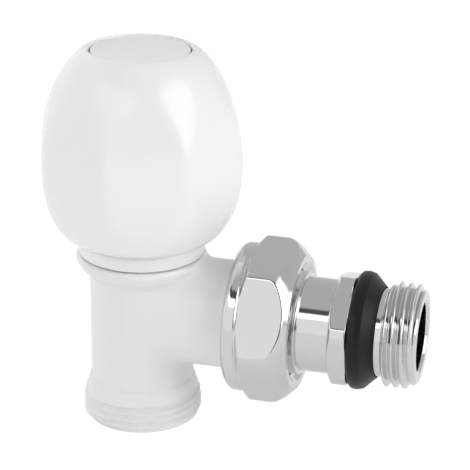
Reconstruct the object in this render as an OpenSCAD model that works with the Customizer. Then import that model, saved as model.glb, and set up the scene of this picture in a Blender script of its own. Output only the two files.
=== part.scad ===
// Angled radiator valve with a faceted handwheel, a union nut and a self-sealing tailpiece.
// Frame: origin at the centre of the inlet end face, +Z up along the inlet and the spindle,
// +X along the outlet towards the radiator. All lengths in millimetres.

/* [Body] */
// Height of the outlet axis above the inlet end face
outlet_height = 23.7; // [23:0.1:26]
// Outer radius of the upright barrel of the body
barrel_r = 10.4; // [10.2:0.1:10.7]
// Outer radius of the inlet thread (M24 x 1.5)
inlet_thread_r = 12; // [11.9:0.05:12]
// Height of the full inlet thread above the end face
inlet_thread_h = 4.6; // [4:0.1:4.8]
// Radius of the pipe socket inside the inlet
pipe_socket_r = 8.05; // [7.6:0.05:8.1]
// Outer radius of the bead that carries the collar ring
bead_r = 13.1; // [12.9:0.1:13.3]
// Outer radius of the outlet stub between the barrel and the union nut
stub_r = 10.85; // [10.6:0.05:11]

/* [Union] */
// Distance from the valve axis to the barrel-side face of the union nut
nut_x = 20.2; // [20:0.1:20.6]
// Length of the union nut
nut_len = 13; // [12.8:0.1:13.2]
// Width across the flats of the union nut
nut_af = 29; // [28.8:0.1:30]
// Radius to which the corners of the union nut are turned
nut_corner_r = 16.5; // [16.3:0.05:16.6]
// Outer radius of the union thread (G 3/4)
union_thread_r = 13.22; // [13.1:0.01:13.25]

/* [Tailpiece] */
// Distance from the valve axis to the radiator end of the tailpiece
tail_end_x = 57.4; // [57:0.1:58]
// Outer radius of the smooth shank
shank_r = 9.4; // [9.2:0.05:9.5]
// Outer radius of the radiator thread (G 1/2)
tail_thread_r = 10.4775; // [10.3:0.0005:10.5]
// Radius of the waterway through the tailpiece
tail_bore_r = 6.8; // [6.4:0.1:7]
// Width across the flats of the tightening hexagon
flange_af = 21.1; // [20.8:0.1:21.4]
// Largest radius of the rubber sealing ring
seal_r = 11.75; // [11.5:0.05:11.9]

/* [Headwork] */
// Full lift of the shutter above the seat
lift = 3; // [2.5:0.1:3]
// Lead of the spindle thread
spindle_lead = 1.5; // [1:0.25:2]
// Radius of the spindle where the seals run
spindle_r = 3; // [2.8:0.05:3]

/* [Handwheel] */
// Radius of the round body of the handwheel before its flats are cut
wheel_r = 21; // [20.8:0.1:21.3]
// Height of the handwheel
wheel_h = 38.1; // [37.8:0.1:38.5]
// Distance from the axis to the middle of each flat
flat_r = 19.15; // [18.9:0.05:19.4]
// Number of flats round the handwheel
flats = 8; // [6:2:10]
// Radius of the round cap on top of the handwheel
cap_r = 9.7; // [9.5:0.05:9.8]

/* [Hidden] */
$fn = 64;
H = outlet_height;
eps = 0.01;

// heights of the headwork, measured from the inlet end face
seat_z = H - 5.5;            // top of the seat lip
body_top = H + 11.5;         // top face of the body
ring_z0 = H + 11.6;          // collar ring, underside
ring_z1 = H + 15.0;          // collar ring, top
wheel_z0 = H + 15.35;        // lower rim of the handwheel
wheel_z1 = wheel_z0 + wheel_h;
wheel_mid = wheel_z0 + 17.15;// widest level of the handwheel
flat_mid = wheel_z0 + 15.65; // level where the flats stand furthest out
flat_arc = 60;               // radius of the upright curve of each flat
cap_z0 = wheel_z1 - 2.3;     // underside of the cap
first_flat = 20.7;           // direction of the first flat about the axis, degrees
nut_turn = 37;               // direction of a corner of the union nut, degrees from up
flange_turn = 13.9;          // direction of a corner of the flange, degrees from up
washer_r = 6.6;              // seat washer
groove_r = 8.9;              // root of the sealing ring groove
shoulder_r = 10.3;           // shoulder of the tailpiece that the thrust ring runs on
nut_end = nut_x + nut_len;
neck_r = 10.2;               // neck of the body inside the collar ring
neck_top = H + 14.6;
gland_seals = [18.9, 22.3];  // undersides of the gland nut's grooves above the outlet axis

// revolve a section about the outlet axis: points are [distance along X, radius]
module turned_x(pts) {
  translate([0, 0, H]) rotate([0, 90, 0]) rotate_extrude() polygon([for (p = pts) [p[1], p[0]]]);
}

// revolve a section about the upright axis: points are [radius, height]
module turned_z(pts) { rotate_extrude() polygon(pts); }

// plain rod along the outlet axis
module rod_x(x0, x1, r) {
  translate([x0, 0, H]) rotate([0, 90, 0]) cylinder(h = x1 - x0, r = r);
}

// hexagonal rod along the outlet axis, one corner turned by a degrees from up
module hex_x(x0, x1, af, a) {
  translate([x0, 0, H]) rotate([a, 0, 0]) rotate([0, 90, 0])
    cylinder(h = x1 - x0, r = af / 2 / cos(30), $fn = 6);
}

// ring of round section about the upright axis
module o_ring_z(z, mid_r, wire_r) {
  translate([0, 0, z]) rotate_extrude() translate([mid_r, 0]) circle(r = wire_r, $fn = 32);
}

// radius of the round body of the handwheel at height z
function wheel_at(z) = z >= wheel_mid
  ? wheel_r * sqrt(1 - pow((z - wheel_mid) / 24, 2))
  : wheel_r * pow(1 - pow((wheel_mid - z) / 18.55, 3), 1 / 3);

module valve_body() color("white") {
  difference() {
    union() {
      // inlet thread, shoulder, barrel and bead, in one casting
      turned_z([[0, 0], [inlet_thread_r, 0], [inlet_thread_r, inlet_thread_h], [11.75, 5.3], [11.2, 6.6],
                [10.75, 8.1], [barrel_r, 9.7], [barrel_r, H + 6.9], [11.25, H + 8.1], [12.3, H + 9.0],
                [bead_r, H + 10.3], [bead_r, H + 11.2], [12.7, body_top], [neck_r, body_top], [neck_r, H + 12.9],
                [9.9, H + 13.0], [9.9, H + 13.6], [neck_r, H + 13.7], [neck_r, neck_top], [0, neck_top]]);
      // outlet stub and union thread
      turned_x([[0, 0], [0, barrel_r - 0.1], [6, stub_r], [nut_x + 0.6, stub_r], [nut_x + 0.6, 0]]);
      rod_x(nut_x + 0.6, 28.2, union_thread_r);
    }
    // pipe socket with its cone mouth, waterway to the seat
    turned_z([[0, -1], [9.6, -1], [9.6, 0], [pipe_socket_r, 2.0], [pipe_socket_r, 10.5], [6, 12], [0, 12]]);
    translate([0, 0, 11]) cylinder(h = seat_z, r = 5.4);
    // valve chamber with the raised seat lip, then the bonnet thread
    turned_z([[6.6, seat_z - 1.2], [8.2, seat_z - 1.2], [8.2, H + 6.6], [8.6, H + 6.6], [8.6, H + 15], [0, H + 15],
              [0, seat_z], [6.6, seat_z]]);
    // outlet waterway and the cone that the tailpiece seals in
    rod_x(0, 29, 6.2);
    turned_x([[23.8, 0], [23.8, 6.2], [28.3, 9.6], [28.3, 0]]);
  }
}

module bonnet() color("goldenrod") {
  difference() {
    union() {
      // threaded part in the body, flange, spanner hexagon and neck
      turned_z([[0, H + 6.8], [8.5, H + 6.8], [8.5, neck_top], [10.1, neck_top], [10.1, H + 15.3], [0, H + 15.3]]);
      translate([0, 0, H + 15.2]) cylinder(h = 4.0, r = 18 / 2 / cos(30), $fn = 6);
      translate([0, 0, H + 19.1]) cylinder(h = 6.5, r = 6.3);
    }
    // groove of the bonnet seal
    turned_z([[7.2, H + 8.0], [9, H + 8.0], [9, H + 9.8], [7.2, H + 9.8]]);
    // hexagonal guide of the shutter
    translate([0, 0, H + 6]) cylinder(h = 7.4, r = 4.15 / cos(30), $fn = 6);
    // room for the spindle, its collar and the gland nut
    translate([0, 0, H + 13]) cylinder(h = 3, r = spindle_r + 0.05);
    translate([0, 0, H + 15.4]) cylinder(h = 12, r = 4.7);
    translate([0, 0, H + 17.32]) cylinder(h = 10, r = 5.1);
  }
}

module bonnet_o_ring() color("black") {
  turned_z([[7.25, H + 8.1], [8.15, H + 8.1], [8.55, H + 8.5], [8.55, H + 9.3], [8.15, H + 9.7], [7.25, H + 9.7]]);
}

module gland_nut() color("goldenrod") {
  difference() {
    union() {
      translate([0, 0, H + 17.35]) cylinder(h = 8.4, r = 5.05);
      translate([0, 0, H + 25.65]) cylinder(h = 2.3, r = 11 / 2 / cos(30), $fn = 6);
    }
    translate([0, 0, H + 15]) cylinder(h = 14, r = spindle_r + 0.05);
    for (z = gland_seals)
      turned_z([[2, H + z], [4.35, H + z], [4.35, H + z + 1.7], [2, H + z + 1.7]]);
  }
}

module friction_washer() color("white") {
  difference() {
    translate([0, 0, H + 16.8]) cylinder(h = 0.5, r = 4.6);
    translate([0, 0, H + 16]) cylinder(h = 2, r = spindle_r + 0.08);
  }
}

// ring of the seals in the gland nut
module gland_seal(z) {
  turned_z([[spindle_r + 0.08, H + z + 0.55], [3.35, H + z + 0.15], [3.95, H + z + 0.15], [4.3, H + z + 0.5],
            [4.3, H + z + 1.2], [3.95, H + z + 1.55], [3.35, H + z + 1.55], [spindle_r + 0.08, H + z + 1.15]]);
}
module spindle_lower_o_ring() color("black") { gland_seal(gland_seals[0]); }
module spindle_upper_o_ring() color("black") { gland_seal(gland_seals[1]); }

module collar_ring() color("white") {
  // plain ring with an inner rib that snaps into the neck's groove
  turned_z([[12.0, ring_z0], [12.5, ring_z0 + 0.3], [12.65, ring_z0 + 1.2], [12.6, ring_z1 - 0.8], [12.0, ring_z1],
            [10.4, ring_z1], [10.4, H + 13.5], [10.0, H + 13.4], [10.0, H + 13.2], [10.4, H + 13.1], [10.4, ring_z0]]);
}

module spindle() color("silver") {
  difference() {
    union() {
      // screw in the shutter, bearing, retaining collar, sealed shaft, splined end
      translate([0, 0, H - 1.2 + lift]) cylinder(h = 14.8 - lift, r = 2.4);
      translate([0, 0, H + 13.1]) cylinder(h = 2.4, r = spindle_r);
      translate([0, 0, H + 15.45]) cylinder(h = 1.3, r = 4.4);
      translate([0, 0, H + 16.7]) cylinder(h = 11.2, r = spindle_r);
      translate([0, 0, H + 27.8]) cylinder(h = 12.7, r = 2.7 / cos(22.5), $fn = 8);
    }
    translate([0, 0, H + 31.4]) cylinder(h = 12, r = 1.75);
  }
}

// round body with curved flats
module wheel_outside() {
  intersection() {
    turned_z(concat([[0, wheel_z0], [12.4, wheel_z0], [14.2, wheel_z0 + 0.4], [15.6, wheel_z0 + 1.15]],
      [for (i = [0:15]) let (z = wheel_z0 + 2.2 + i * (wheel_h - 2.2) / 15) [wheel_at(z), z]],
      [[0, wheel_z1]]));
    for_flats();
  }
}
module for_flats() {
  intersection() {
    flat_pair(0); flat_pair(1); flat_pair(2); flat_pair(3);
  }
}
// two opposite flats, each gently curved from top to bottom
module flat_pair(i) {
  rotate([0, 0, first_flat + i * 180 / (flats / 2)]) intersection() {
    translate([flat_r - flat_arc, 0, flat_mid]) rotate([90, 0, 0]) cylinder(h = 60, r = flat_arc, center = true);
    translate([flat_arc - flat_r, 0, flat_mid]) rotate([90, 0, 0]) cylinder(h = 60, r = flat_arc, center = true);
  }
}

module handwheel() color("white") {
  difference() {
    wheel_outside();
    // hollow inside, open below
    turned_z([[10.9, wheel_z0 - 1], [10.9, wheel_z0 + 1.5], [15.6, wheel_z0 + 6], [16.6, wheel_z0 + 12], [16.4, wheel_z0 + 20],
              [14.2, wheel_z0 + 27], [10.6, wheel_z0 + 32], [6.4, wheel_z0 + 33.4], [6.4, wheel_z0 + 13.2],
              [0, wheel_z0 + 13.2], [0, wheel_z0 - 1]]);
    // socket for the top of the spindle, screw hole and head pocket
    translate([0, 0, wheel_z0 + 8]) cylinder(h = 17.4, r = 2.75 / cos(22.5), $fn = 8);
    translate([0, 0, wheel_z0 + 8]) cylinder(h = 24, r = 1.95);
    translate([0, 0, wheel_z0 + 28.2]) cylinder(h = 12, r = 3.8);
    // seat of the cap
    translate([0, 0, cap_z0 - 0.05]) cylinder(h = 5, r = cap_r + 0.3);
  }
}

module handwheel_cap() color("white") {
  turned_z([[0, cap_z0], [cap_r, cap_z0], [cap_r, wheel_z1 - 0.45], [cap_r - 0.4, wheel_z1 - 0.1], [6, wheel_z1 + 0.15],
            [0, wheel_z1 + 0.3]]);
  // clip that holds the cap in the screw pocket
  difference() {
    translate([0, 0, cap_z0 - 3]) cylinder(h = 3.1, r = 3.75);
    translate([0, 0, cap_z0 - 4]) cylinder(h = 4, r = 2.9);
  }
}

module handwheel_screw() color("silver") {
  difference() {
    union() {
      translate([0, 0, wheel_z0 + 28.25]) cylinder(h = 2.2, r = 3.4);
      translate([0, 0, wheel_z0 + 17.5]) cylinder(h = 10.8, r = 1.7);
    }
    translate([-0.4, -2.2, wheel_z0 + 29.2]) cube([0.8, 4.4, 2]);
    translate([-2.2, -0.4, wheel_z0 + 29.2]) cube([4.4, 0.8, 2]);
  }
}

module shutter() color("goldenrod") {
  difference() {
    union() {
      turned_z([[0, seat_z + 1.25], [7.3, seat_z + 1.25], [7.3, seat_z + 2.6], [5.5, seat_z + 3.6], [0, seat_z + 3.6]]);
      turned_z([[washer_r + 0.05, seat_z + 0.7], [7.3, seat_z + 0.7], [7.3, seat_z + 1.3], [washer_r + 0.05, seat_z + 1.3]]);
      // hexagonal stem that keeps the shutter from turning
      translate([0, 0, seat_z + 3.5]) cylinder(h = 14.5 - lift, r = 4.05 / cos(30), $fn = 6);
    }
    // spindle thread, from above, and screw hole, from below
    translate([0, 0, H - 1.3]) cylinder(h = 14, r = 2.45);
    translate([0, 0, seat_z]) cylinder(h = 3.2, r = 1.4);
  }
}

module seat_washer() color("black") {
  difference() {
    translate([0, 0, seat_z + 0.02]) cylinder(h = 1.2, r = washer_r);
    translate([0, 0, seat_z - 1]) cylinder(h = 4, r = 1.45);
  }
}

module seat_washer_screw() color("silver") {
  translate([0, 0, seat_z - 1.2]) cylinder(h = 1.2, r = 3);
  translate([0, 0, seat_z - 0.1]) cylinder(h = 3.2, r = 1.35);
}

module tailpiece() color("silver") {
  difference() {
    union() {
      // head in the body's cone, its collar, shoulder and smooth shank
      turned_x([[24.6, 0], [24.6, 6.7], [27.9, 9.2], [28.4, 9.2], [28.4, 11.6], [28.8, 11.9], [30.3, 11.9], [30.3, shoulder_r],
                [33.9, shoulder_r], [34.2, shank_r], [40.6, shank_r], [40.6, 0]]);
      // tightening hexagon with turned corners
      intersection() {
        hex_x(40.4, 44.1, flange_af, flange_turn);
        turned_x([[40.4, 0], [40.4, 10.5], [41.0, 11.6], [44.1, 11.6], [44.1, 0]]);
      }
      // groove for the rubber ring, then the radiator thread
      rod_x(44, 50.6, groove_r);
      turned_x([[50.5, 0], [50.5, 9.4], [51.2, tail_thread_r], [56.4, tail_thread_r], [tail_end_x, 9.3], [tail_end_x, 0]]);
    }
    rod_x(24, 58, tail_bore_r - 0.8);
    rod_x(36, 60, tail_bore_r);
    turned_x([[tail_end_x - 0.5, 0], [tail_end_x - 0.5, tail_bore_r], [tail_end_x, tail_bore_r + 0.5], [tail_end_x + 1, tail_bore_r + 0.5],
              [tail_end_x + 1, 0]]);
    // groove of the union seal in the cone
    turned_x([[26.0, 7.0], [26.0, 12], [27.4, 12], [27.4, 7.0]]);
  }
}

module union_o_ring() color("black") {
  turned_x([[26.1, 7.1], [27.3, 7.1], [27.3, 8.75], [26.1, 7.85]]);
}

module union_thrust_ring() color("silver") {
  difference() {
    turned_x([[30.4, shoulder_r + 0.08], [30.4, 11.9], [31.1, 11.9], [31.1, shoulder_r + 0.08]]);
    // gap of the split ring
    translate([30, -1.2, H - 13]) cube([2, 2.4, 5]);
  }
}

module union_nut() color("silver") {
  difference() {
    union() {
      turned_x([[nut_x, 0], [nut_x, 13.7], [nut_x + 0.4, 14.4], [nut_x + 1, 14.8], [nut_x + 3.2, 14.9], [nut_x + 3.2, 0]]);
      intersection() {
        hex_x(nut_x + 3, nut_end, nut_af, nut_turn);
        turned_x([[nut_x + 3, 0], [nut_x + 3, 14.7], [nut_x + 4.2, nut_corner_r], [nut_x + 9.3, nut_corner_r],
                  [nut_x + 11.4, 15.2], [nut_end, 13.5], [nut_end, 0]]);
      }
    }
    // union thread, then the lip that bears on the thrust ring
    turned_x([[nut_x - 1, 0], [nut_x - 1, 14], [nut_x, 14], [nut_x + 0.6, union_thread_r + 0.05], [31.2, union_thread_r + 0.05], [31.2, 0]]);
    rod_x(31, 36, 10.6);
    turned_x([[32.2, 0], [32.2, 10.6], [33.0, 11.4], [34, 11.4], [34, 0]]);
  }
}

module sealing_ring() color("black") {
  difference() {
    turned_x([[44.15, 0], [44.15, 10.9], [44.9, seal_r - 0.1], [45.6, seal_r], [46.9, 11.4], [49.3, 9.15], [49.3, 0]]);
    rod_x(43, 50, groove_r + 0.02);
  }
}

valve_body();
bonnet();
bonnet_o_ring();
gland_nut();
friction_washer();
spindle_lower_o_ring();
spindle_upper_o_ring();
collar_ring();
spindle();
handwheel();
handwheel_cap();
handwheel_screw();
shutter();
seat_washer();
seat_washer_screw();
union_thrust_ring();
union_nut();
tailpiece();
union_o_ring();
sealing_ring();
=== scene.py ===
import math
import bpy
import numpy as np
from mathutils import Matrix, Vector


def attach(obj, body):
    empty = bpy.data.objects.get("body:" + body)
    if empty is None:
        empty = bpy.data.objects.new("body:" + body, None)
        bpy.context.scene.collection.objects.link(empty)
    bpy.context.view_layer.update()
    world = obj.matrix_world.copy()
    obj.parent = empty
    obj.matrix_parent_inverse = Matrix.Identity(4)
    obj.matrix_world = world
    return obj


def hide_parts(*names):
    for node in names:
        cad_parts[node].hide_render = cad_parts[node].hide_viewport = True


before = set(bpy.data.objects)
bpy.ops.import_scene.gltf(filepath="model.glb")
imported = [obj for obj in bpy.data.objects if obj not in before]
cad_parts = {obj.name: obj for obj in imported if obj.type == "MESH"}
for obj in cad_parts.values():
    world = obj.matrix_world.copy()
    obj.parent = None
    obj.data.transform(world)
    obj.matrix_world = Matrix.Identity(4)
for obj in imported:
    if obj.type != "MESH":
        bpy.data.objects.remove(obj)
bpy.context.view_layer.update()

# All lengths below are millimetres in the CAD frame; meshes are written in metres.
MM = 0.001
H = 23.7                       # height of the outlet axis above the inlet end face
PI = math.pi


# ---------------------------------------------------------------- camera
def make_camera():
    yaw, pitch, roll = 0.2617087, 0.3773323, 0.0128024
    fwd = Vector((-math.cos(pitch) * math.sin(yaw), math.cos(pitch) * math.cos(yaw), -math.sin(pitch)))
    right = Vector((math.cos(yaw), math.sin(yaw), 0))
    up = right.cross(fwd)
    r2 = right * math.cos(roll) + up * math.sin(roll)
    u2 = up * math.cos(roll) - right * math.sin(roll)
    cam = bpy.data.cameras.new("camera")
    cam.sensor_width = 36
    cam.lens = 1800 / 470 * 36
    cam.clip_start, cam.clip_end = 0.01, 10
    ob = bpy.data.objects.new("camera", cam)
    bpy.context.collection.objects.link(ob)
    m = Matrix((r2, u2, -fwd)).transposed().to_4x4()
    m.translation = Vector((104.36, -317.70, 147.36 + H)) * MM
    ob.matrix_world = m
    bpy.context.scene.camera = ob


make_camera()


# ---------------------------------------------------------------- profiles
def smooth01(x):
    x = np.clip(x, 0, 1)
    return x * x * (3 - 2 * x)


def fillet(pts, closed=False, step=0.5, fine=0.05):
    """Polyline through points (a, b, radius) with rounded corners, as an array of (a, b)."""
    n = len(pts)
    out = []
    for i in range(n):
        p = np.array(pts[i][:2], float)
        f = pts[i][2] if len(pts[i]) > 2 else 0
        if f > 0 and (closed or 0 < i < n - 1):
            u = np.array(pts[i - 1][:2], float) - p
            v = np.array(pts[(i + 1) % n][:2], float) - p
            lu, lv = np.linalg.norm(u), np.linalg.norm(v)
            u, v = u / lu, v / lv
            ang = math.acos(max(-1, min(1, float(u @ v))))
            if ang > PI - 0.02:
                out.append(p)
                continue
            d = min(f / math.tan(ang / 2), 0.48 * lu, 0.48 * lv)
            f = d * math.tan(ang / 2)
            a, b = p + u * d, p + v * d
            c = p + (u + v) / np.linalg.norm(u + v) * (f / math.sin(ang / 2))
            s = PI - ang
            k = max(3, int(round(s / math.radians(13))))
            for t in np.linspace(0, 1, k + 1):
                out.append(c + (math.sin((1 - t) * s) * (a - c) + math.sin(t * s) * (b - c)) / math.sin(s))
        else:
            out.append(p)
    if closed:
        out.append(out[0])
    res = [out[0]]
    for p, q in zip(out[:-1], out[1:]):
        d = np.linalg.norm(q - p)
        if d < 1e-6:
            continue
        if d > 2.5 * fine:
            ts = [fine / d]
            k = int(d / step)
            ts += [j / (k + 1) for j in range(1, k + 1)]
            ts.append(1 - fine / d)
            res += [p + (q - p) * t for t in sorted(ts)]
        res.append(q)
    if closed:
        res = res[:-1]
    return np.array(res)


def curve_through(pts, n=400):
    """Smooth curve through points, by a natural cubic spline over the chord length."""
    p = np.array(pts, float)
    t = np.concatenate([[0], np.cumsum(np.linalg.norm(np.diff(p, axis=0), axis=1))])
    m = len(t)
    h = np.diff(t)
    a = np.zeros((m, m))
    r = np.zeros((m, p.shape[1]))
    a[0, 0] = a[-1, -1] = 1
    for i in range(1, m - 1):
        a[i, i - 1], a[i, i], a[i, i + 1] = h[i - 1], 2 * (h[i - 1] + h[i]), h[i]
        r[i] = 6 * ((p[i + 1] - p[i]) / h[i] - (p[i] - p[i - 1]) / h[i - 1])
    s = np.linalg.solve(a, r)
    q = np.linspace(0, t[-1], n)
    k = np.clip(np.searchsorted(t, q, side="right") - 1, 0, m - 2)
    x = (q - t[k])[:, None]
    hk = h[k][:, None]
    return (p[k] + x * ((p[k + 1] - p[k]) / hk - hk * (2 * s[k] + s[k + 1]) / 6) + x ** 2 * s[k] / 2
            + x ** 3 * (s[k + 1] - s[k]) / (6 * hk))


def softmin(a, b, k):
    h = np.maximum(k - np.abs(a - b), 0) / k
    return np.minimum(a, b) - h * h * k / 4


def hexagon(theta, apothem, corner, sides=6, k=0.05):
    """Radius of a polygon at angle theta (radians), one corner at angle corner (degrees)."""
    half = PI / sides
    t = (theta - math.radians(corner)) % (2 * half) - half
    r1 = apothem / np.cos(t)
    t2 = np.abs(t) - 2 * half
    r2 = apothem / np.maximum(np.cos(t2), 0.2)
    return softmin(r1, r2, k)


def blur(f, sr, sc):
    """Gaussian blur of a field; rows clamp at their ends, columns wrap round."""
    for axis, s in ((0, sr), (1, sc)):
        if s <= 0:
            continue
        n = int(math.ceil(3 * s))
        w = np.exp(-0.5 * (np.arange(-n, n + 1) / s) ** 2)
        w /= w.sum()
        if axis == 0:
            g = np.pad(f, ((n, n), (0, 0)), mode="edge")
            f = sum(w[i] * g[i:i + f.shape[0]] for i in range(2 * n + 1))
        else:
            g = np.pad(f, ((0, 0), (n, n)), mode="wrap")
            f = sum(w[i] * g[:, i:i + f.shape[1]] for i in range(2 * n + 1))
    return f


def screw_depth(s, pitch_depth, flat=0.07, root=0.03):
    """Depth of a V thread at phase s (0 at the root, turns), in millimetres below the crest."""
    t = np.abs((s + 0.5) % 1.0 - 0.5)
    d = 1 - np.sqrt((t / (0.5 - flat)) ** 2 + root) + 0.02
    return pitch_depth * np.clip(d, 0, 1)


# ---------------------------------------------------------------- mesh building
def add_mesh(name, verts, faces, body, nodes, slot, mat, smooth=True):
    me = bpy.data.meshes.new(name)
    me.from_pydata((np.asarray(verts) * MM).tolist(), [], [list(map(int, f)) for f in faces])
    me.update()
    # outward normals: the signed volume must be positive
    co = np.asarray(verts)
    vol = 0.0
    for f in faces:
        f = list(f)
        for i in range(1, len(f) - 1):
            a, b, c = co[f[0]], co[f[i]], co[f[i + 1]]
            vol += a[0] * (b[1] * c[2] - b[2] * c[1]) - a[1] * (b[0] * c[2] - b[2] * c[0]) + a[2] * (b[0] * c[1] - b[1] * c[0])
    if vol < 0:
        me.flip_normals()
    me.polygons.foreach_set("use_smooth", [smooth] * len(me.polygons))
    me.materials.append(mat)
    ob = bpy.data.objects.new(name, me)
    bpy.context.collection.objects.link(ob)
    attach(ob, body)
    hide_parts(*nodes)
    return ob


def grid_faces(rows, cols, closed):
    i = np.arange(rows if closed else rows - 1)[:, None]
    j = np.arange(cols)[None, :]
    a = i * cols + j
    b = i * cols + (j + 1) % cols
    c = ((i + 1) % rows) * cols + (j + 1) % cols
    d = ((i + 1) % rows) * cols + j
    return np.stack([a + 0 * d, b + 0 * a, c, d], -1).reshape(-1, 4)


def rings_to_points(axial, radial, axis):
    """axial and radial: arrays (rows, cols). Angle 0 is +X about the Z axis, and up about the X axis,
    turning towards the viewer's side (-Y)."""
    rows, cols = radial.shape
    th = np.arange(cols) * 2 * PI / cols
    if axis == "z":
        p = np.stack([radial * np.cos(th), radial * np.sin(th), axial], -1)
    else:
        p = np.stack([axial, -radial * np.sin(th), H + radial * np.cos(th)], -1)
    return p.reshape(-1, 3)


def ring_solid(name, axial, radial, axis, **kw):
    rows, cols = radial.shape
    return add_mesh(name, rings_to_points(axial, radial, axis), grid_faces(rows, cols, True), **kw)


def lathe(name, prof, axis, cols=192, **kw):
    """Closed ring of revolution: prof is a closed path of (axial, radius)."""
    ax = np.repeat(prof[:, 0][:, None], cols, 1)
    ra = np.repeat(prof[:, 1][:, None], cols, 1)
    return ring_solid(name, ax, ra, axis, **kw)


def capped(name, prof, axis, cols=160, **kw):
    """Solid of revolution whose path starts and ends on the axis."""
    inner = prof[1:-1]
    ax = np.repeat(inner[:, 0][:, None], cols, 1)
    ra = np.repeat(inner[:, 1][:, None], cols, 1)
    pts = rings_to_points(ax, ra, axis)
    n = len(inner)
    ends = [[0, 0, prof[0, 0]], [0, 0, prof[-1, 0]]] if axis == "z" else [[prof[0, 0], 0, H], [prof[-1, 0], 0, H]]
    pts = np.vstack([pts, ends])
    f = [list(q) for q in grid_faces(n, cols, False)]
    for j in range(cols):
        k = (j + 1) % cols
        f.append([n * cols, k, j])
        f.append([n * cols + 1, (n - 1) * cols + j, (n - 1) * cols + k])
    return add_mesh(name, pts, f, **kw)


# ---------------------------------------------------------------- materials
def principled(name, color, rough, metallic=0.0, coat=0.0, coat_rough=0.05, spec=0.5, sss=0.0):
    m = bpy.data.materials.new(name)
    m.use_nodes = True
    b = m.node_tree.nodes["Principled BSDF"]
    b.inputs["Base Color"].default_value = (*color, 1)
    b.inputs["Roughness"].default_value = rough
    b.inputs["Metallic"].default_value = metallic
    b.inputs["Coat Weight"].default_value = coat
    b.inputs["Coat Roughness"].default_value = coat_rough
    b.inputs["Specular IOR Level"].default_value = spec
    if sss:
        b.inputs["Subsurface Weight"].default_value = sss
        b.inputs["Subsurface Radius"].default_value = (0.002, 0.002, 0.002)
        b.inputs["Subsurface Scale"].default_value = 1.0
    return m, b


def with_noise(m, b, scale, rough_lo, rough_hi, bump=0.0, bump_scale=None, tint=None):
    """Small procedural changes of roughness, tint and surface over the object's own coordinates."""
    nt = m.node_tree
    tc = nt.nodes.new("ShaderNodeTexCoord")
    no = nt.nodes.new("ShaderNodeTexNoise")
    no.inputs["Scale"].default_value = scale
    no.inputs["Detail"].default_value = 3
    nt.links.new(tc.outputs["Object"], no.inputs["Vector"])
    mr = nt.nodes.new("ShaderNodeMapRange")
    mr.inputs["From Min"].default_value = 0.3
    mr.inputs["From Max"].default_value = 0.7
    mr.inputs["To Min"].default_value = rough_lo
    mr.inputs["To Max"].default_value = rough_hi
    nt.links.new(no.outputs["Fac"], mr.inputs["Value"])
    nt.links.new(mr.outputs["Result"], b.inputs["Roughness"])
    if tint:
        ramp = nt.nodes.new("ShaderNodeValToRGB")
        ramp.color_ramp.elements[0].position = 0.3
        ramp.color_ramp.elements[1].position = 0.7
        ramp.color_ramp.elements[0].color = (*tint[0], 1)
        ramp.color_ramp.elements[1].color = (*tint[1], 1)
        nt.links.new(no.outputs["Fac"], ramp.inputs["Fac"])
        nt.links.new(ramp.outputs["Color"], b.inputs["Base Color"])
    if bump:
        n2 = nt.nodes.new("ShaderNodeTexNoise")
        n2.inputs["Scale"].default_value = bump_scale or scale * 4
        n2.inputs["Detail"].default_value = 2
        nt.links.new(tc.outputs["Object"], n2.inputs["Vector"])
        bp = nt.nodes.new("ShaderNodeBump")
        bp.inputs["Strength"].default_value = bump
        bp.inputs["Distance"].default_value = 0.0001
        nt.links.new(n2.outputs["Fac"], bp.inputs["Height"])
        nt.links.new(bp.outputs["Normal"], b.inputs["Normal"])
    return m


def grey(v):
    return (v, v, v)


m_wheel, b_ = principled("white_gloss_plastic", grey(0.84), 0.25, coat=0.35, coat_rough=0.08, spec=0.45)
with_noise(m_wheel, b_, 60, 0.24, 0.26, tint=(grey(0.848), grey(0.854)))
m_cap, b_ = principled("white_cap_plastic", grey(0.85), 0.3, coat=0.2, coat_rough=0.12, spec=0.45)
with_noise(m_cap, b_, 70, 0.27, 0.34, bump=0.03, bump_scale=350, tint=(grey(0.845), grey(0.86)))
m_ring, b_ = principled("white_ring_plastic", grey(0.82), 0.32, coat=0.15, coat_rough=0.15, spec=0.45)
with_noise(m_ring, b_, 60, 0.28, 0.36, bump=0.02, bump_scale=400, tint=(grey(0.81), grey(0.825)))
m_body, b_ = principled("white_enamel", grey(0.80), 0.38, coat=0.25, coat_rough=0.2, spec=0.45)
with_noise(m_body, b_, 45, 0.32, 0.42, bump=0.05, bump_scale=260, tint=(grey(0.79), grey(0.81)))
m_chrome, b_ = principled("polished_chrome", grey(0.66), 0.07, metallic=1.0)
with_noise(m_chrome, b_, 80, 0.055, 0.085, bump=0.01, bump_scale=300, tint=(grey(0.65), grey(0.67)))
m_tail, b_ = principled("polished_chrome_tail", grey(0.66), 0.07, metallic=1.0)
with_noise(m_tail, b_, 80, 0.06, 0.09, bump=0.01, bump_scale=300, tint=(grey(0.65), grey(0.67)))
m_rubber, b_ = principled("black_rubber", grey(0.005), 0.42, spec=0.3)
with_noise(m_rubber, b_, 90, 0.38, 0.48, bump=0.05, bump_scale=600, tint=(grey(0.004), grey(0.005)))
m_seal, b_ = principled("seal_rubber", grey(0.02), 0.5, spec=0.4)
with_noise(m_seal, b_, 200, 0.45, 0.55, bump=0.05, bump_scale=900, tint=(grey(0.018), grey(0.024)))
m_brass, b_ = principled("machined_brass", (0.62, 0.42, 0.15), 0.25, metallic=1.0)
with_noise(m_brass, b_, 150, 0.2, 0.32, bump=0.03, bump_scale=900, tint=((0.60, 0.41, 0.14), (0.65, 0.45, 0.18)))
m_steel, b_ = principled("turned_steel", grey(0.55), 0.25, metallic=1.0)
with_noise(m_steel, b_, 150, 0.2, 0.32, bump=0.03, bump_scale=900, tint=(grey(0.53), grey(0.57)))
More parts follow.
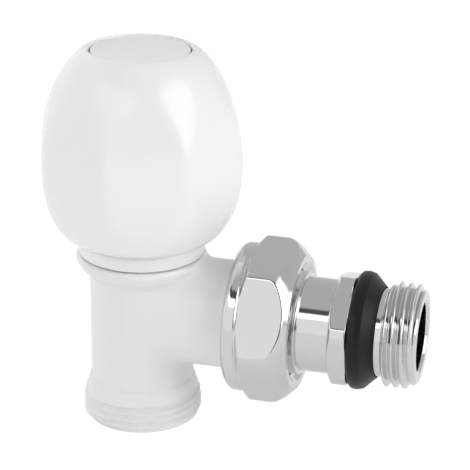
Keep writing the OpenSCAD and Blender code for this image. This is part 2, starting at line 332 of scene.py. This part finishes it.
m_slip, b_ = principled("slip_plastic", grey(0.75), 0.45, spec=0.4)
with_noise(m_slip, b_, 150, 0.4, 0.5, bump=0.02, bump_scale=700, tint=(grey(0.73), grey(0.77)))

for node, mat in {"bonnet": m_brass, "gland_nut": m_brass, "shutter": m_brass, "bonnet_o_ring": m_seal,
                  "spindle_lower_o_ring": m_seal, "spindle_upper_o_ring": m_seal, "union_o_ring": m_seal,
                  "seat_washer": m_seal, "spindle": m_steel, "handwheel_screw": m_steel,
                  "seat_washer_screw": m_steel, "union_thrust_ring": m_steel, "friction_washer": m_slip}.items():
    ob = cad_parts[node]
    for s in ob.material_slots:
        s.material = mat
    if not ob.material_slots:
        ob.data.materials.append(mat)


# ---------------------------------------------------------------- handwheel
WZ0, WH = H + 15.36, 38.1
WZ1 = WZ0 + WH
ROUND = curve_through([(12.35, 15.36), (14.6, 15.75), (15.9, 16.7), (17.3, 18.6), (18.9, 21.6), (20.2, 25.6), (20.85, 30),
                       (20.8, 34.5), (20.25, 38), (19.15, 41.2), (17.6, 44.5), (15.6, 48.1), (13.4, 51.2),
                       (11.4, 53.0)], 600)
FLAT = curve_through([(15.4, 14.5), (17.1, 18.4), (18.2, 21.4), (19.0, 25.3), (19.35, 29), (19.4, 33), (19.05, 37),
                      (18.3, 41), (17.4, 44.3), (16.2, 48.1), (15.1, 51.2), (14.2, 54)], 600)
FLAT_AT = 20.7
RIDGE = 0.8


def wheel_radius(z, th):
    """Radius of the handwheel at height z above the outlet axis and angle th."""
    v = np.interp(z, ROUND[:, 1], ROUND[:, 0])[:, None]
    a = np.interp(z, FLAT[:, 1], FLAT[:, 0])[:, None]
    half = PI / 8
    t = (th - math.radians(FLAT_AT) + half) % (2 * half) - half
    f1 = a / np.cos(t)[None, :]
    f2 = a / np.cos(2 * half - np.abs(t))[None, :]
    f = softmin(f1, f2, RIDGE * 0.9)
    return softmin(f, v + 0 * f, RIDGE)


cols = 300
th = np.arange(cols) * 2 * PI / cols
path = ROUND[::6]
zs = path[:, 1]
outer_r = wheel_radius(zs, th)
outer_r[0] = path[0, 0]
outer_z = np.repeat(zs[:, None], cols, 1)
# rim of the cap's seat, then the inside, down to the lower rim
inside = fillet([(53.30, 10.6, 0.0), (53.42, 10.2, 0.25), (52.9, 9.95, 0.2), (51.1, 9.95, 0.15), (51.1, 3.8, 0.1), (43.56, 3.8, 0.1),
                 (43.56, 1.95, 0.1), (40.7, 1.95, 0.1), (40.7, 2.98, 0.1), (28.6, 2.98, 0.1), (28.6, 6.35, 0.4), (47.5, 6.5, 1.0),
                 (47.2, 10.6, 1.5), (42.4, 14.1, 2.5), (35.4, 16.4, 4), (27.4, 16.6, 4), (21.4, 15.5, 3), (16.9, 10.95, 1),
                 (15.36, 10.95, 0.2), (15.36, 11.8, 0.0)], step=6, fine=0.08)
in_z = np.repeat(inside[:, 0][:, None], cols, 1)
in_r = np.repeat(inside[:, 1][:, None], cols, 1)
ring_solid("handwheel_shell", np.vstack([outer_z, in_z]) + H, np.vstack([outer_r, in_r]), "z",
           body="handwheel_set", nodes=["handwheel"], slot="wheel_plastic", mat=m_wheel)

cap = fillet([(WZ1 + 0.28 - H, 0), (WZ1 + 0.22 - H, 3.5, 6), (WZ1 + 0.02 - H, 7.4, 6), (WZ1 - 0.32 - H, 9.68, 0.28), (51.25, 9.68, 0.2), (51.25, 3.7, 0.1),
              (48.2, 3.7, 0.1), (48.2, 0)], step=0.5)
cap[:, 0] += H
capped("handwheel_top_cap", cap, "z", cols=192, body="handwheel_set", nodes=["handwheel_cap"], slot="wheel_plastic", mat=m_cap)

# ---------------------------------------------------------------- collar ring
ring = fillet([(11.66, 10.45, 0.15), (11.66, 12.2, 0.35), (12.0, 12.55, 0.4), (13.2, 12.66, 3), (14.4, 12.6, 0.8), (15.02, 12.1, 0.4), (15.02, 10.45, 0.15)],
              closed=True, step=0.6)
ring[:, 0] += H
lathe("collar_band", ring, "z", cols=256, body="valve", nodes=["collar_ring"], slot="ring_plastic", mat=m_ring)

# ---------------------------------------------------------------- rubber sealing ring
seal = fillet([(44.14, 8.95, 0.1), (44.14, 10.95, 0.3), (44.75, 11.62, 0.5), (45.8, 11.72, 1.0), (46.95, 11.4, 0.25), (49.3, 9.05, 0.15), (49.3, 8.95, 0.02)],
              closed=True, step=0.5)
lathe("rubber_sealing_ring", seal, "x", cols=256, body="valve", nodes=["sealing_ring"], slot="ring_rubber", mat=m_rubber)

# ---------------------------------------------------------------- union nut
cols = 400
th = np.arange(cols) * 2 * PI / cols
nx0, nx1 = 20.2, 33.2
dx = 0.06
xs = np.arange(nx0 - 0.6, nx1 + 0.6 + 1e-6, dx)
collar_t = np.interp(xs, [19, 20.2, 20.5, 21.0, 21.5, 23.05, 23.15, 24.35, 29.0, 29.9, 30.8, 31.6, 32.3, 32.9, 33.25, 34.5],
                     [13.3, 13.9, 14.4, 14.78, 14.9, 14.9, 14.35, 16.45, 16.45, 16.2, 15.7, 15.05, 14.4, 13.75, 13.4, 12.2])
hexr = hexagon(th, 14.5, 37.0, k=0.12)
field = np.minimum(collar_t[:, None], np.where(xs[:, None] < 23.1, 99.0, hexr[None, :]))
field = blur(field, 0.16 / dx, 0.16 / (14.9 * 2 * PI / cols))
keep = (xs >= nx0 + 0.02) & (xs <= nx1 + 0.02)
sel = np.nonzero(keep)[0][::2]
nut_x = np.repeat(xs[sel][:, None], cols, 1)
nut_r = field[sel]
# right face with its stepped recess, then the cavity with the union thread, back to the left face
face = fillet([(33.24, 13.2, 0.1), (33.2, 12.1, 0.3), (32.6, 11.5, 0.3), (32.3, 11.2, 0.2), (31.9, 10.62, 0.2), (31.15, 10.62, 0.1), (31.15, 13.27, 0.2), (28.9, 13.3, 0.1)], step=0.5)
ax = np.repeat(face[:, 0][:, None], cols, 1)
ra = np.repeat(face[:, 1][:, None], cols, 1)
tx = np.arange(28.8, 20.8, -0.14)
td = screw_depth(tx[:, None] / 1.814 - th[None, :] / (2 * PI), 1.05)
tr = 13.28 - td * smooth01((28.7 - tx[:, None]) / 0.8) * smooth01((tx[:, None] - 21.7) / 1.2)
tr = np.maximum(tr, 12.3)
left = fillet([(20.7, 13.3), (20.35, 13.5, 0.1), (20.2, 13.65)], step=0.4)
lx = np.repeat(left[:, 0][:, None], cols, 1)
lr = np.repeat(left[:, 1][:, None], cols, 1)
ring_solid("hexagon_union_nut", np.vstack([nut_x, ax, np.repeat(tx[:, None], cols, 1), lx]), np.vstack([nut_r, ra, tr, lr]), "x",
           body="nut", nodes=["union_nut"], slot="chrome_nut", mat=m_chrome)

# ---------------------------------------------------------------- tailpiece
cols = 256
th = np.arange(cols) * 2 * PI / cols


def const(prof):
    return np.repeat(prof[:, 0][:, None], cols, 1), np.repeat(prof[:, 1][:, None], cols, 1)


parts = []
parts.append(const(fillet([(24.62, 6.3), (24.62, 6.68, 0.05), (26.0, 7.75, 0.05), (26.0, 7.05, 0.05), (27.4, 7.05, 0.05), (27.4, 8.8, 0.05), (27.9, 9.18, 0.1),
                           (28.42, 9.2, 0.05), (28.42, 11.6, 0.1), (28.8, 11.88, 0.1), (30.28, 11.88, 0.1), (30.28, 10.3, 0.05),
                           (33.9, 10.3, 0.15), (34.15, 9.42, 0.1), (40.36, 9.38, 0.25), (40.42, 10.2)], step=0.6)))
fx = np.arange(40.2, 44.4, 0.05)
ft = np.interp(fx, [40.2, 40.42, 40.9, 41.1, 44.0, 44.12, 44.4], [10.2, 10.5, 11.35, 11.58, 11.58, 11.45, 11.0])
fr = np.minimum(ft[:, None], hexagon(th, 10.53, 13.9, k=0.1)[None, :])
fr = blur(fr, 0.1 / 0.05, 0.12 / (10.5 * 2 * PI / cols))
s = np.nonzero((fx > 40.43) & (fx < 44.11))[0][::3]
parts.append((np.repeat(fx[s][:, None], cols, 1), fr[s]))
parts.append(const(fillet([(44.12, 10.8), (44.12, 8.9, 0.05), (50.2, 8.7, 0.3), (50.35, 8.75)], step=0.6)))
tx = np.arange(50.4, 56.9, 0.09)
crest = np.interp(tx, [50.3, 50.7, 51.2, 55.9, 56.9], [8.8, 9.6, 10.42, 10.42, 9.5])
depth = screw_depth((tx[:, None] - 51.0) / 1.814 - (th[None, :] - math.radians(66)) / (2 * PI) + 0.5, 1.12, flat=0.06, root=0.02)
tr = np.maximum(crest[:, None] - depth, 8.72)
tr = np.minimum(tr, crest[:, None])
tr = blur(tr, 0.6, 0.6)
parts.append((np.repeat(tx[:, None], cols, 1), tr))
parts.append(const(fillet([(57.0, 9.3, 0.1), (57.38, 8.9, 0.25), (57.38, 7.25, 0.15), (56.9, 6.84, 0.2), (36.0, 6.8, 0.1), (36.0, 6.0, 0.05), (24.62, 6.0, 0.05)], step=0.9)))
ring_solid("turned_tailpiece", np.vstack([p[0] for p in parts]), np.vstack([p[1] for p in parts]), "x",
           body="valve", nodes=["tailpiece"], slot="chrome_tail", mat=m_tail)


# ---------------------------------------------------------------- valve body
def polygon_distance(px, py, poly):
    """Signed distance to a closed polygon, negative inside."""
    v = np.array(poly, float)
    n = len(v)
    d = np.full(px.shape, 1e9)
    s = np.ones(px.shape)
    for i in range(n):
        a, b = v[i], v[i - 1]
        ex, ey = b - a
        wx, wy = px - a[0], py - a[1]
        t = np.clip((wx * ex + wy * ey) / (ex * ex + ey * ey), 0, 1)
        d = np.minimum(d, (wx - ex * t) ** 2 + (wy - ey * t) ** 2)
        c1, c2, c3 = py >= a[1], py < b[1], ex * wy > ey * wx
        flip = (c1 & c2 & c3) | (~c1 & ~c2 & ~c3)
        s = np.where(flip, -s, s)
    return s * np.sqrt(d)


RR = 0.3
OUT = [(-5, 5), (10.4 - RR, 5), (10.4 - RR, H + 7.0), (11.2 - RR, H + 8.05), (12.2 - RR, H + 9.0), (13.0 - RR, H + 10.35), (13.12 - RR, H + 10.7),
       (12.95 - RR, H + 11.25 - 0.1), (12.6 - RR, H + 11.5 - RR), (10.2 - RR, H + 11.5 - RR), (10.2 - RR, H + 14.6 - RR), (-5, H + 14.6 - RR)]
CAV = [(-5, 5), (8.05, 5), (8.05, 10.5), (6.0, 12), (5.4, 12), (5.4, H - 5.5), (6.6, H - 5.5), (6.6, H - 6.7), (8.2, H - 6.7), (8.2, H + 6.6), (8.6, H + 6.6),
       (8.6, H + 20), (-5, H + 20)]


def body_field(x, y, z):
    rho = np.sqrt(x * x + y * y)
    a = polygon_distance(rho, z, OUT) - RR
    rx = np.sqrt(y * y + (z - H) ** 2)
    rs = 10.3 + 0.55 * smooth01(x / 6.0) - 2.5 * smooth01(-x / 5.0)
    b = np.maximum(rx - rs, -x - 5.0)
    out = softmin(a, b, 1.7 - 1.6 * smooth01((z - H - 10.6) / 0.8))
    c = polygon_distance(rho, z, CAV)
    c = np.minimum(c, np.maximum(rx - 6.2, -x))
    return np.maximum(out, -c)


def surface_nets(f, X, Y, Z):
    ins = f < 0
    cnt = np.zeros(tuple(n - 1 for n in f.shape), int)
    for a in (0, 1):
        for b in (0, 1):
            for c in (0, 1):
                cnt += ins[a:f.shape[0] - 1 + a, b:f.shape[1] - 1 + b, c:f.shape[2] - 1 + c]
    act = (cnt > 0) & (cnt < 8)
    idx = -np.ones(act.shape, int)
    I, J, K = np.nonzero(act)
    idx[I, J, K] = np.arange(len(I))
    acc = np.zeros((len(I), 3))
    num = np.zeros(len(I))
    corners = [(a, b, c) for a in (0, 1) for b in (0, 1) for c in (0, 1)]
    for p in corners:
        for q in corners:
            if sum(q) - sum(p) == 1 and all(qq >= pp for pp, qq in zip(p, q)):
                fa, fb = f[I + p[0], J + p[1], K + p[2]], f[I + q[0], J + q[1], K + q[2]]
                m = (fa < 0) != (fb < 0)
                t = np.where(m, fa / np.where(fa == fb, 1, fa - fb), 0)
                pa = np.stack([X[I + p[0]], Y[J + p[1]], Z[K + p[2]]], -1)
                pb = np.stack([X[I + q[0]], Y[J + q[1]], Z[K + q[2]]], -1)
                acc += np.where(m[:, None], pa + (pb - pa) * t[:, None], 0)
                num += m
    v = acc / num[:, None]
    quads = []
    nx, ny, nz = f.shape
    for axis in range(3):
        lo = [slice(1, n - 1) for n in (nx, ny, nz)]
        lo[axis] = slice(0, (nx, ny, nz)[axis] - 1)
        a = ins[tuple(lo)]
        hi = list(lo)
        hi[axis] = slice(1, (nx, ny, nz)[axis])
        b = ins[tuple(hi)]
        i, j, k = np.nonzero(a != b)
        flip = b[i, j, k]
        off = [1, 1, 1]
        off[axis] = 0
        i, j, k = i + off[0], j + off[1], k + off[2]
        u, w = [(1, 2), (2, 0), (0, 1)][axis]
        c = [np.stack([i, j, k], -1) for _ in range(4)]
        c[0][:, u] -= 1
        c[0][:, w] -= 1
        c[1][:, w] -= 1
        c[3][:, u] -= 1
        q = np.stack([idx[cc[:, 0], cc[:, 1], cc[:, 2]] for cc in c], -1)
        q = np.where(flip[:, None], q[:, ::-1], q)
        quads.append(q)
    return v, np.vstack(quads)


def project(v, field, steps=4, e=0.01):
    for _ in range(steps):
        f = field(*v.T)
        g = np.stack([(field(*(v + d).T) - field(*(v - d).T)) / (2 * e) for d in np.eye(3) * e], -1)
        n2 = np.maximum((g * g).sum(1), 0.3)
        move = -f[:, None] * g / n2[:, None]
        length = np.linalg.norm(move, axis=1, keepdims=True)
        v = v + move * np.minimum(1, 0.12 / np.maximum(length, 1e-9))
    return v


def boundary_loops(quads):
    """Vertices of the open edges, as a set of undirected edges used once."""
    e = np.vstack([quads[:, [0, 1]], quads[:, [1, 2]], quads[:, [2, 3]], quads[:, [3, 0]]])
    key = np.sort(e, 1)
    u, inv, c = np.unique(key, axis=0, return_inverse=True, return_counts=True)
    return u[c == 1]


def zipper(ia, aa, ib, ab):
    """Triangles between two closed loops, each given as indices and angles."""
    oa, ob_ = np.argsort(aa), np.argsort(ab)
    ia, aa, ib, ab = np.array(ia)[oa], np.array(aa)[oa], np.array(ib)[ob_], np.array(ab)[ob_]
    na, nb = len(ia), len(ib)
    j0 = int(np.argmin(np.abs(np.angle(np.exp(1j * (ab - aa[0]))))))
    ib, ab = np.roll(ib, -j0), np.unwrap(np.roll(ab, -j0))
    aa = np.unwrap(aa)
    ab = ab - 2 * PI * round((ab[0] - aa[0]) / (2 * PI))
    tri = []
    i = j = 0
    while i < na or j < nb:
        ta = aa[(i + 1) % na] + 2 * PI * ((i + 1) // na)
        tb = ab[(j + 1) % nb] + 2 * PI * ((j + 1) // nb)
        if j >= nb or (i < na and ta <= tb):
            tri.append([ia[i % na], ia[(i + 1) % na], ib[j % nb]])
            i += 1
        else:
            tri.append([ia[i % na], ib[(j + 1) % nb], ib[j % nb]])
            j += 1
    return tri


def valve_body():
    zc, xc = 10.0, 19.6
    g = 0.4
    X = np.concatenate([np.arange(-13.6, xc - 0.1, g), [xc]])
    Y = np.arange(-13.65, 13.7, g)
    Z = np.concatenate([[zc], np.arange(zc + g, H + 6.4, g), np.arange(H + 6.6, H + 11.9, 0.2), np.arange(H + 12.2, H + 15.2, 0.4)])
    f = body_field(*np.meshgrid(X, Y, Z, indexing="ij"))
    v, q = surface_nets(f, X, Y, Z)
    v = project(v, body_field)
    open_e = boundary_loops(q)
    ov = np.unique(open_e)
    rho, rx = np.hypot(v[ov, 0], v[ov, 1]), np.hypot(v[ov, 1], v[ov, 2] - H)
    low = (v[ov, 2] < zc + g) & (v[ov, 0] < xc - 1)
    bottom_out, bottom_in = ov[low & (rho > 9.2)], ov[low & (rho <= 9.2)]
    end = v[ov, 0] > xc - g
    end_out, end_in = ov[end & (rx > 8.5)], ov[end & (rx <= 8.5)]
    verts = [v]
    faces = [list(map(int, t)) for t in q]
    n = len(v)
    cols = 224
    th = np.arange(cols) * 2 * PI / cols

    # inlet, from the cut down over the thread and up the pipe socket
    zo = np.concatenate([np.arange(9.95, 6.4, -0.25), np.arange(6.3, 0.12, -0.075)])
    env = np.interp(zo, [0.0, 0.12, 0.65, 3.6, 5.2, 6.4, 7.0, 8.2, 8.9, 9.5], [11.2, 11.3, 12.0, 12.0, 11.75, 11.3, 11.02, 10.75, 10.47, 10.4])
    env = blur(env[:, None], 2.0, 0)[:, 0]
    env[:6] = 10.4
    d = screw_depth((zo[:, None] - 5.1) / 1.5 - (th[None, :] - math.radians(-72)) / (2 * PI), 0.88, flat=0.05)
    ro = env[:, None] - d * smooth01((6.4 - zo[:, None]) / 1.2)
    ro = np.maximum(ro, 10.45 * (zo[:, None] < 9.0))
    prof = fillet([(0.0, 11.15, 0.1), (0.0, 9.6, 0.1), (2.0, 8.05, 0.2), (9.9, 8.05)], step=1.5)
    rows_a = np.vstack([np.repeat(zo[:, None], cols, 1), np.repeat(prof[:, 0][:, None], cols, 1)])
    rows_r = np.vstack([ro, np.repeat(prof[:, 1][:, None], cols, 1)])
    pts = rings_to_points(rows_a, rows_r, "z")
    gf = grid_faces(len(rows_a), cols, False)[:, ::-1] + n
    verts.append(pts)
    faces += [list(map(int, t)) for t in gf]
    ang = lambda i: np.arctan2(allv[i, 1], allv[i, 0])
    allv = np.vstack(verts)
    first, last = np.arange(n, n + cols), np.arange(len(allv) - cols, len(allv))
    faces += zipper(first, ang(first), bottom_out, ang(bottom_out))
    faces += [t[::-1] for t in zipper(last, ang(last), bottom_in, ang(bottom_in))]
    n = len(allv)

    # outlet, from the cut over the union thread and back along the waterway
    p0 = fillet([(19.65, 10.85), (20.72, 10.85, 0.15), (20.8, 12.9, 0.15), (21.1, 13.1, 0.1)], step=0.4)
    xo = np.arange(21.2, 28.0, 0.11)
    crest = np.interp(xo, [21.0, 21.4, 27.4, 28.1], [13.15, 13.2, 13.2, 12.4])
    d = screw_depth(xo[:, None] / 1.814 - th[None, :] / (2 * PI), 1.1)
    ro = crest[:, None] - d * smooth01((xo[:, None] - 21.3) / 1.0)
    p1 = fillet([(28.18, 12.3, 0.1), (28.2, 9.5, 0.1), (23.8, 6.2, 0.3), (19.7, 6.2)], step=1.2)
    rows_a = np.vstack([np.repeat(p0[:, 0][:, None], cols, 1), np.repeat(xo[:, None], cols, 1), np.repeat(p1[:, 0][:, None], cols, 1)])
    rows_r = np.vstack([np.repeat(p0[:, 1][:, None], cols, 1), ro, np.repeat(p1[:, 1][:, None], cols, 1)])
    pts = rings_to_points(rows_a, rows_r, "x")
    gf = grid_faces(len(rows_a), cols, False) + n
    allv = np.vstack([allv, pts])
    faces += [list(map(int, t)) for t in gf]
    angx = lambda i: np.arctan2(-allv[i, 1], allv[i, 2] - H)
    first, last = np.arange(n, n + cols), np.arange(len(allv) - cols, len(allv))
    faces += zipper(first, angx(first), end_out, angx(end_out))
    faces += [t[::-1] for t in zipper(last, angx(last), end_in, angx(end_in))]
    ob = add_mesh("cast_valve_body", allv, faces, body="valve", nodes=["valve_body"], slot="body_metal", mat=m_body)
    import bmesh
    bm = bmesh.new()
    bm.from_mesh(ob.data)
    bmesh.ops.recalc_face_normals(bm, faces=bm.faces)
    bm.to_mesh(ob.data)
    print("body open edges", sum(1 for e in bm.edges if len(e.link_faces) != 2), "faces", len(bm.faces))
    bm.free()
    ob.data.polygons.foreach_set("use_smooth", [True] * len(ob.data.polygons))
    return ob


valve_body()

# ---------------------------------------------------------------- floor, light and surroundings
fl = bpy.data.meshes.new("floor")
s = 3.0
fl.from_pydata([(-s, -s, -0.0002), (s, -s, -0.0002), (s, s, -0.0002), (-s, s, -0.0002)], [], [(0, 1, 2, 3)])
floor = bpy.data.objects.new("floor", fl)
bpy.context.collection.objects.link(floor)
fm = bpy.data.materials.new("floor_white")
fm.use_nodes = True
nt = fm.node_tree
nt.nodes.clear()
out = nt.nodes.new("ShaderNodeOutputMaterial")
em = nt.nodes.new("ShaderNodeEmission")
em.inputs["Strength"].default_value = 1.02
df = nt.nodes.new("ShaderNodeBsdfDiffuse")
df.inputs["Color"].default_value = (0.8, 0.8, 0.8, 1)
mix = nt.nodes.new("ShaderNodeMixShader")
lp = nt.nodes.new("ShaderNodeLightPath")
nt.links.new(lp.outputs["Is Camera Ray"], mix.inputs["Fac"])
glow = nt.nodes.new("ShaderNodeEmission")
glow.inputs["Strength"].default_value = 0.22
both = nt.nodes.new("ShaderNodeAddShader")
nt.links.new(df.outputs[0], both.inputs[0])
nt.links.new(glow.outputs[0], both.inputs[1])
nt.links.new(both.outputs[0], mix.inputs[1])
nt.links.new(em.outputs[0], mix.inputs[2])
nt.links.new(mix.outputs[0], out.inputs["Surface"])
fl.materials.append(fm)


w = bpy.data.worlds.new("studio")
bpy.context.scene.world = w
w.use_nodes = True
wt = w.node_tree
bg = wt.nodes["Background"]


def wmath(op, a, b=None, c=None):
    n = wt.nodes.new("ShaderNodeMath")
    n.operation = op
    for i, v in enumerate((a, b, c)):
        if v is None:
            continue
        if isinstance(v, (int, float)):
            n.inputs[i].default_value = v
        else:
            wt.links.new(v, n.inputs[i])
    return n.outputs[0]


def wramp(v, lo, hi):
    """Smooth step from 0 to 1 between lo and hi (from 1 to 0 when lo > hi)."""
    n = wt.nodes.new("ShaderNodeMapRange")
    n.interpolation_type = "SMOOTHSTEP"
    flip = lo > hi
    n.inputs["From Min"].default_value = min(lo, hi)
    n.inputs["From Max"].default_value = max(lo, hi)
    n.inputs["To Min"].default_value = 1 if flip else 0
    n.inputs["To Max"].default_value = 0 if flip else 1
    wt.links.new(v, n.inputs["Value"])
    return n.outputs["Result"]


tc = wt.nodes.new("ShaderNodeTexCoord")
sp = wt.nodes.new("ShaderNodeSeparateXYZ")
wt.links.new(tc.outputs["Generated"], sp.inputs[0])
DX, DY, DZ = sp.outputs
# azimuth: 0 in front of the object (-Y), 90 at its right (+X); elevation above the horizon; both in degrees
AZ = wmath("MULTIPLY", wmath("ARCTAN2", DX, wmath("MULTIPLY", DY, -1.0)), 180 / PI)
EL = wmath("MULTIPLY", wmath("ARCSINE", DZ), 180 / PI)


def panel(az0, az1, el0, el1, soft_az=3, soft_el=3):
    """1 inside a rectangle of directions, 0 outside, with soft edges."""
    r = wmath("MULTIPLY", wramp(AZ, az0 - soft_az, az0 + soft_az), wramp(AZ, az1 + soft_az, az1 - soft_az))
    r = wmath("MULTIPLY", r, wramp(EL, el0 - soft_el, el0 + soft_el))
    return wmath("MULTIPLY", r, wramp(EL, el1 + soft_el, el1 - soft_el))


def over(base, level, mask):
    """base where mask is 0, level where it is 1."""
    return wmath("ADD", wmath("MULTIPLY", base, wmath("SUBTRACT", 1.0, mask)), wmath("MULTIPLY", mask, level))


light = wmath("ADD", 0.62, wmath("MULTIPLY", wramp(EL, 10, 60), -0.04))
# dark gap above the front screen and between the front and right screens
light = over(light, 0.10, panel(-75, 75, 44, 58, 6, 3))
light = over(light, 0.12, panel(12, 46, -10, 60, 4, 4))
# large front screen with a brighter upper part, right soft box, left screen
light = over(light, 1.05, panel(-62, 12, -12, 33, 4, 3))
light = over(light, 1.9, panel(-60, 12, 33, 46, 4, 2))
light = over(light, 3.0, panel(52, 100, 5, 50, 5, 5))
light = over(light, 1.15, panel(-150, -66, -10, 55, 6, 8))
wt.links.new(light, bg.inputs["Strength"])
bg.inputs["Color"].default_value = (1, 1, 1, 1)

bpy.context.scene.view_settings.view_transform = "Standard"
bpy.context.scene.view_settings.look = "None"
